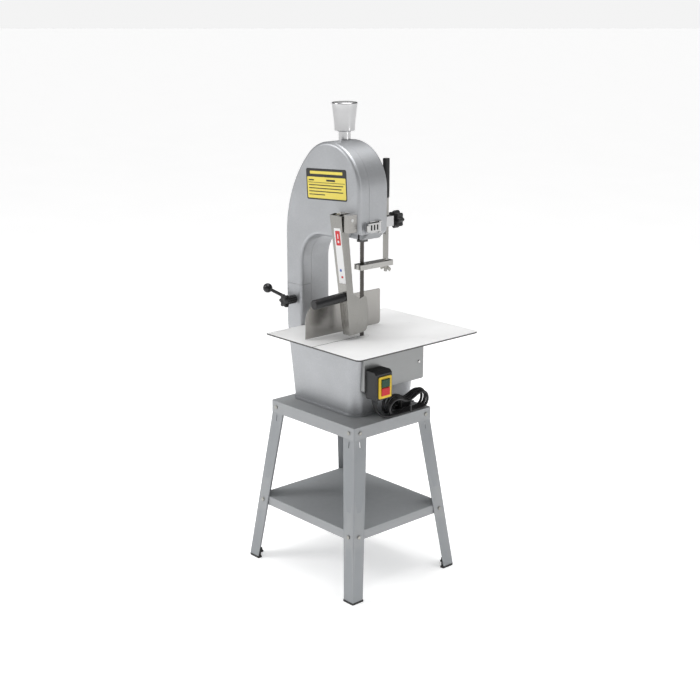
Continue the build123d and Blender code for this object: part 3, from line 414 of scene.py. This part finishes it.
def make_knob(name, node, base_y, direction, profile, lobes, segments, body):
    """Lobed knob on the node's own axis, which runs along Y."""
    centre = middle(node)
    work = bmesh.new()
    lathe(work, profile, along((centre.x, base_y, centre.z), (0, direction, 0)), segments, lobes)
    piece = make_piece(name, work, FINISH["black_plastic"], body)
    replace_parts(piece, node)


def make_lever_sleeve():
    """Ridged sleeve round the lever's rod, from the hub to the ball."""
    axis, ball = middle("lever_shaft"), middle("lever_ball")
    reach = Vector((ball.x - axis.x, 0, ball.z - axis.z))
    end_at = reach.length / MM - BALL_GAP
    profile = [(HUB_GAP, SLEEVE_END_R, 0)]
    for k in range(int((end_at - HUB_GAP) / RIDGE_PITCH)):
        base = HUB_GAP + k * RIDGE_PITCH
        profile += [(base + 0.3, SLEEVE_R, 0), (base + 1.1, RIDGE_R, 0),
                    (base + 2.0, RIDGE_R, 0), (base + 2.8, SLEEVE_R, 0)]
    profile.append((end_at, SLEEVE_END_R, 0))
    work = bmesh.new()
    lathe(work, profile, along((axis.x, ball.y, axis.z), reach), segments=32)
    make_piece("lever_sleeve", work, FINISH["black_plastic"], "lever")


clamp_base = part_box("clamp_knob")[1].y - CLAMP_KNOB_DEPTH * MM
make_knob("post_clamp_knob", "clamp_knob", clamp_base, 1, CLAMP_KNOB, 8, 144, "post_knob")
make_knob("lever_star_knob", "star_knob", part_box("star_knob")[1].y, -1, STAR_KNOB, 6, 120, "lever_star")
make_lever_sleeve()


# ---------------------------------------------------------------- labels, with plain bars for lettering
def printed(name, colour, rough=0.38, fade=0.04):
    return plastic(name, colour, rough, grain=1500.0, depth=0.00001, fade=fade)


LABEL_BLACK = printed("label_black", (0.014, 0.014, 0.013), rough=0.35)
LABEL_YELLOW = printed("label_yellow", (0.80, 0.66, 0.10), fade=0.06)
LABEL_WHITE = printed("label_white", (0.80, 0.80, 0.80))
LABEL_RED = printed("label_red", (0.60, 0.02, 0.025))
LABEL_BLUE = printed("label_blue", (0.03, 0.10, 0.42))
LABEL_LOW, LABEL_HIGH = (-91.0, 1104.5), (76.0, 1190.0)  # corners in X and Z, mm
LABEL_TILT = radians(-3.4)
LAYER_STEP, LAYER_THICK = 0.16, 0.15
HEADER_SHARE, LABEL_BORDER, TEXT_INSET = 0.27, 4.0, 10.0
LINE_SHARES, LINE_PITCH, LINE_HALF = (0.97, 0.92, 0.96, 0.45), 8.6, 1.3
PUSHER_LEAN, PUSHER_SLANT = radians(3.2), 0.090  # how far the arm leans along Y and slants along X
PUSHER_WEB_X, PUSHER_WEB_OUT = 70.2, 17.02      # middle of the arm's web, and its distance out from the pin


def door_plate(name, x0, x1, z0, z1, level, finish, radius):
    """Layer of the door's label; level counts layers outward."""
    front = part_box("door")[0].y
    pivot_x, pivot_z = ((low + high) / 2 * MM for low, high in zip(LABEL_LOW, LABEL_HIGH))
    centre = Matrix.Translation((pivot_x, 0, pivot_z))
    tilt = centre @ Matrix.Rotation(LABEL_TILT, 4, "Y") @ centre.inverted()
    origin = ((x0 + x1) / 2 * MM, front - (0.02 + LAYER_STEP * level) * MM, (z0 + z1) / 2 * MM)
    place = tilt @ facing(origin, (1, 0, 0), (0, -1, 0))
    plate(name, place, (x1 - x0, z1 - z0), radius, LAYER_THICK, finish, "door")


def make_door_label():
    (x0, z0), (x1, z1) = LABEL_LOW, LABEL_HIGH
    header = z1 - HEADER_SHARE * (z1 - z0)
    text_x = x0 + TEXT_INSET
    door_plate("label_back", x0, x1, z0, z1, 0, LABEL_BLACK, 6.0)
    door_plate("label_field", x0 + LABEL_BORDER, x1 - LABEL_BORDER, z0 + LABEL_BORDER, header, 1,
               LABEL_YELLOW, 3.0)
    door_plate("label_title", x0 + 16, x1 - 16, header + 8, header + 16, 1, LABEL_YELLOW, 2.0)
    door_plate("label_rule", x0 + 8, x1 - 8, header - 16.0, header - 14.6, 2, LABEL_BLACK, 0.5)
    door_plate("label_tag_a", text_x, x0 + 32, header - 10.5, header - 7.0, 2, LABEL_BLACK, 0.5)
    door_plate("label_tag_b", x0 + 84, x0 + 120, header - 11.0, header - 6.0, 2, LABEL_BLACK, 0.5)
    for k, share in enumerate(LINE_SHARES):
        z = header - 22.5 - LINE_PITCH * k
        end_x = text_x + share * (x1 - x0 - 2 * TEXT_INSET)
        door_plate(f"label_line_{k}", text_x, end_x, z - LINE_HALF, z + LINE_HALF, 2, LABEL_BLACK, 0.5)


def make_pusher_label():
    """White strip on the pusher's front web, with a red sign and two dots."""
    pin = middle("pusher_pin")
    down = Vector((PUSHER_SLANT, sin(PUSHER_LEAN), -cos(PUSHER_LEAN))).normalized()
    front = Vector((0, -cos(PUSHER_LEAN), -sin(PUSHER_LEAN)))
    side = down.cross(front)
    top = Vector((PUSHER_WEB_X * MM, pin.y, pin.z)) + front * PUSHER_WEB_OUT * MM

    def strip(name, along_mm, across_mm, size, finish, level, radius):
        offset = down * along_mm + Vector((across_mm, 0, 0)) + front * 0.13 * level
        place = facing(top + offset * MM, side, front)
        plate(name, place, size, radius, 0.12, finish, "pusher")

    strip("pusher_strip", 100.0, 0.0, (27.0, 152.0), LABEL_WHITE, 0, 2.0)
    strip("pusher_sign", 51.0, 0.5, (19.0, 40.0), LABEL_RED, 1, 2.5)
    strip("pusher_sign_bar", 46.0, 0.5, (3.2, 14.0), LABEL_WHITE, 2, 1.5)
    strip("pusher_sign_dot", 61.0, 0.5, (7.0, 7.0), LABEL_WHITE, 2, 3.4)
    strip("pusher_dot_blue", 140.0, -2.0, (8.0, 8.0), LABEL_BLUE, 1, 3.9)
    strip("pusher_dot_red", 158.0, 1.5, (8.0, 6.0), LABEL_RED, 1, 2.0)


make_door_label()
make_pusher_label()


# ---------------------------------------------------------------- small details
# painted shade: near-black finish for pieces that stand in for the shade inside slots
SHADOW_BLACK = plastic("shadow_black", (0.006, 0.006, 0.006), 0.7, grain=900.0, depth=0.00001, fade=0.0)
SLOT_WIDTH, SLOT_STRIP_THICK, SLOT_STRIP_SINK = 2.3, 1.1, 1.2
SLOT_EDGE_GAP, INSERT_CLEARANCE = 0.2, 21.5
LATCH_SLOTS, LATCH_SLOT_FIRST, LATCH_SLOT_PITCH, LATCH_SLOT_SIZE = 3, 14, 11, (3.2, 15.0)
LATCH_SLOT_OUT = 7.62  # out from the latch's innermost side, about 1 mm clear of its outer face


def make_table_slot_shade():
    """Near-black strip in the slot through which the band is fitted: painted shade where the slot looks
    dark.
    """
    table_low, table_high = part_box("worktable")
    insert = middle("throat_insert")
    length = (insert.y - table_low.y) / MM - INSERT_CLEARANCE
    centre = (insert.x, table_low.y + (length / 2 + SLOT_EDGE_GAP) * MM, table_high.z - SLOT_STRIP_SINK * MM)
    plate("table_slot_strip", Matrix.Translation(centre), (SLOT_WIDTH, length), 0.4, SLOT_STRIP_THICK,
          SHADOW_BLACK, "frame")


def make_latch_slots():
    # painted shade: near-black plates over the latch's slots stand in for their dark insides
    low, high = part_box("latch_lever")
    for k in range(LATCH_SLOTS):
        y = high.y - (LATCH_SLOT_FIRST + LATCH_SLOT_PITCH * k) * MM
        centre = (low.x + LATCH_SLOT_OUT * MM, y, (low.z + high.z) / 2)
        plate(f"latch_slot_{k}", facing(centre, (0, 1, 0), (1, 0, 0)), LATCH_SLOT_SIZE, 1.5, 0.2,
              SHADOW_BLACK, "latch")


make_table_slot_shade()
make_latch_slots()


# ---------------------------------------------------------------- mains lead
LEAD_D = 7.5
REST_Z = 500.1  # the lead's middle when it lies on the stand
FOLD_R, BACK_FOLD_Y, FRONT_FOLD_Y, WAIST_Y, WAIST_DIP = 24.2, 123.0, 20.5, 72.0, 17.0
TURNS, FIRST_X, TURN_PITCH = 4, 154.0, 7.8
# one value for each turn, so that the turns don't lie exactly alike
BACK_SHIFT, FRONT_SHIFT = (-1, -5, 0, -4), (-3, 3, 6, -2)
SPLAY, EXTRA_R = (10.0, 7.0, 3.0, 1.0), (0.0, 1.2, 2.6, 1.6)
LEAD_ROUTE = [(133, -46, 553), (133, -46, 534), (138, -41, 516), (146, -27, 503.1), (153, -6.4, REST_Z),
              (153.6, 19, REST_Z)]
TAIL_ROUTE = [(118.5, 13, REST_Z), (112.5, 27, 501.1), (107.5, 41, 504.1), (106, 55, 508)]
BOOT_SEGMENTS, BOOT_RIBS, BOOT_RIB_PITCH, BOOT_END = 32, 6, 4.2, (37.4, 4.3)
TIE_HALF, TIE_THICK, TIE_CORNER, TIE_LOW_Z, TIE_SLACK = 2.2, 1.1, 6.0, 496.3, 2.0


def hank_turn(turn):
    """One turn: a run on the stand, the back fold, the top run under the tie and the front fold."""
    back, front = BACK_FOLD_Y + BACK_SHIFT[turn], FRONT_FOLD_Y + FRONT_SHIFT[turn]
    splay = SPLAY[turn]
    radius = FOLD_R + EXTRA_R[turn]
    centre_z = REST_Z + radius
    stops = [(y, REST_Z, 0.0) for y in (46, WAIST_Y, 98)]
    for k in range(6):
        a = radians(-90 + 30 * k)
        stops.append((back + radius * cos(a), centre_z + radius * sin(a), 0.0))
    for k in range(7):
        y = back + (front - back) * k / 6
        dip = WAIST_DIP * (0.5 - 0.5 * cos(2 * pi * k / 6))
        stops.append((y, centre_z + radius - dip, splay * (k / 6) ** 3))
    for k in range(1, 6 if turn == TURNS - 1 else 7):
        a = radians(90 + 30 * k)
        lean = splay * cos(radians(15 * k)) ** 2
        stops.append((front + radius * cos(a), centre_z + radius * sin(a), lean))
    return [(FIRST_X - TURN_PITCH * (turn + k / len(stops)) + lean, y, z)
            for k, (y, z, lean) in enumerate(stops)]


def curve_piece(name, route, thickness, finish):
    """Round cord along a smooth curve; route and thickness in mm."""
    data = bpy.data.curves.new(name, "CURVE")
    data.dimensions = "3D"
    data.bevel_depth = thickness / 2 * MM
    data.bevel_resolution = 6
    data.resolution_u = 8
    data.use_fill_caps = True
    spline = data.splines.new("NURBS")
    spline.points.add(len(route) - 1)
    for point, place in zip(spline.points, route):
        point.co = (*(Vector(place) * MM), 1.0)
    spline.order_u = 3
    spline.use_endpoint_u = True
    data.materials.append(finish)
    piece = bpy.data.objects.new(name, data)
    bpy.context.scene.collection.objects.link(piece)
    return piece


def line_of(curve):
    """Points along a curve's own smooth line."""
    depth, curve.data.bevel_depth = curve.data.bevel_depth, 0.0
    thin = bpy.data.meshes.new_from_object(curve.evaluated_get(bpy.context.evaluated_depsgraph_get()))
    points = [v.co.copy() for v in thin.vertices]
    bpy.data.meshes.remove(thin)
    curve.data.bevel_depth = depth
    return points


def boot_profile():
    """Distance and radius of the strain relief: a collar, then ribs that taper to the lead."""
    profile = [(9.0, 6.4), (10.0, 6.9)]
    for k in range(BOOT_RIBS):
        base, wide = 12.0 + BOOT_RIB_PITCH * k, 6.7 - 0.42 * k
        profile += [(base, wide), (base + 2.6, wide - 0.15)]
        profile += [(base + 3.0, wide - 0.9), (base + 3.9, wide - 0.9)]
    profile.append(BOOT_END)
    return profile


def make_boot(points):
    """Tapered sleeve on the first stretch of the lead's line."""
    work = bmesh.new()
    rings, travelled, index = [], 0.0, 0
    turns = [2 * pi * k / BOOT_SEGMENTS for k in range(BOOT_SEGMENTS)]
    for distance, radius in boot_profile():
        while travelled + (points[index + 1] - points[index]).length < distance * MM:
            travelled += (points[index + 1] - points[index]).length
            index += 1
        step = points[index + 1] - points[index]
        place = along(points[index] + step.normalized() * (distance * MM - travelled), step)
        rings.append([work.verts.new(place @ (Vector((cos(a), sin(a), 0)) * radius * MM)) for a in turns])
    skin_rings(work, rings)
    return make_piece("strain_relief", work, FINISH["black_plastic"], "frame")


def make_tie():
    """Flat tie round the waist of the hank."""
    half_x = (TURNS * TURN_PITCH + LEAD_D) / 2 + 0.2
    centre_x = FIRST_X - TURNS * TURN_PITCH / 2 + 0.5
    high_z = REST_Z + 2 * FOLD_R - WAIST_DIP + LEAD_D / 2 + TIE_SLACK
    centre = Vector((centre_x, WAIST_Y, (TIE_LOW_Z + high_z) / 2)) * MM
    half_z = (high_z - TIE_LOW_Z) / 2 - TIE_THICK
    place = facing(centre, (-1, 0, 0), (0, 1, 0))
    work = bmesh.new()
    rings = []
    for y, grow in ((-TIE_HALF, 0.0), (-TIE_HALF, TIE_THICK), (TIE_HALF, TIE_THICK), (TIE_HALF, 0.0)):
        outline = rounded_outline(half_x + grow, half_z + grow, TIE_CORNER + grow)
        rings.append([work.verts.new(place @ (Vector((a, b, y)) * MM)) for a, b in outline])
    skin_rings(work, rings, closed=True)
    return make_piece("cord_tie", work, FINISH["black_plastic"], "frame", smooth=False)


def make_cord():
    route = list(LEAD_ROUTE)
    for turn in range(TURNS):
        route += hank_turn(turn)
    route += TAIL_ROUTE
    lead = curve_piece("mains_lead", route, LEAD_D, FINISH["cord_rubber"])
    bpy.context.view_layer.update()
    points = line_of(lead)
    boot = make_boot(points)
    tie = make_tie()
    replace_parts(lead, "mains_cord", "cord_hank")
    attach(lead, "frame")


make_cord()


# ---------------------------------------------------------------- camera, light and floor
CAMERA_PLACE = (2.66469, -2.42030, 1.65561)
CAMERA_PITCH, CAMERA_HEADING = 0.2692, 0.83738  # below level, and round from +Y, in radians
LIGHT_TARGET = (0.0, 0.0, 0.7)
LIGHTS = (  # name, place and size in m, watts
    ("key", (-1.9, -2.6, 2.6), (1.4, 1.4), 44),
    ("side", (3.2, 0.6, 1.9), (0.35, 2.4), 12),
    ("top", (0.2, 0.3, 3.4), (1.8, 1.8), 40),
)
WALL_STOPS = ((0.0, 0.95), (0.05, 0.80), (0.17, 0.16), (0.62, 0.12), (0.80, 0.8), (1.0, 1.7))
FLOOR_HALF = 150.0


def make_camera():
    data = bpy.data.cameras.new("camera")
    data.sensor_width = 36.0
    data.lens = 66.857
    data.clip_end = 60.0
    camera = bpy.data.objects.new("camera", data)
    camera.location = CAMERA_PLACE
    camera.rotation_euler = (pi / 2 - CAMERA_PITCH, 0.0, CAMERA_HEADING)
    bpy.context.scene.collection.objects.link(camera)
    bpy.context.scene.camera = camera


def area_light(name, place, size, watts):
    data = bpy.data.lights.new(name, "AREA")
    data.shape = "RECTANGLE"
    data.size, data.size_y = size
    data.energy = watts
    light = bpy.data.objects.new(name, data)
    light.location = place
    light.rotation_euler = (Vector(LIGHT_TARGET) - Vector(place)).to_track_quat("-Z", "Y").to_euler()
    bpy.context.scene.collection.objects.link(light)


def make_world():
    """Pale at and below eye level, dark above it and bright overhead, so metal has something to reflect."""
    world = bpy.data.worlds.new("studio")
    bpy.context.scene.world = world
    world.use_nodes = True
    tree = world.node_tree
    backdrop = tree.nodes["Background"]
    direction = add(tree, "ShaderNodeTexCoord").outputs["Generated"]
    height = add(tree, "ShaderNodeSeparateXYZ", {0: direction}).outputs[2]
    ramp = add(tree, "ShaderNodeValToRGB", {0: height})
    for position, _ in WALL_STOPS[2:]:
        ramp.color_ramp.elements.new(position)
    for element, (position, level) in zip(ramp.color_ramp.elements, WALL_STOPS):
        element.position = position
        element.color = (level, level, level, 1.0)
    tree.links.new(ramp.outputs[0], backdrop.inputs["Color"])
    backdrop.inputs["Strength"].default_value = 0.95


def make_floor():
    """Plain pale floor, far wider than the view."""
    data = bpy.data.meshes.new("floor")
    corners = [(x * FLOOR_HALF, y * FLOOR_HALF, 0) for x, y in ((-1, -1), (1, -1), (1, 1), (-1, 1))]
    data.from_pydata(corners, [], [(0, 1, 2, 3)])
    floor = bpy.data.objects.new("floor", data)
    bpy.context.scene.collection.objects.link(floor)
    material, tree, shader, coords = start("floor_paint")
    clouds = spread(tree, noise(tree, coords, 2.0), 0.0, 1.0)
    tone = blend_colour(tree, clouds, (0.90, 0.90, 0.90), (0.93, 0.93, 0.93))
    tree.links.new(tone, shader.inputs["Base Color"])
    shader.inputs["Roughness"].default_value = 0.9
    shader.inputs["Emission Color"].default_value = (1.0, 1.0, 1.0, 1.0)
    shader.inputs["Emission Strength"].default_value = 0.42
    data.materials.append(material)


make_camera()
make_world()
for name, place, size, watts in LIGHTS:
    area_light(name, place, size, watts)
make_floor()
bpy.context.scene.view_settings.view_transform = "Standard"
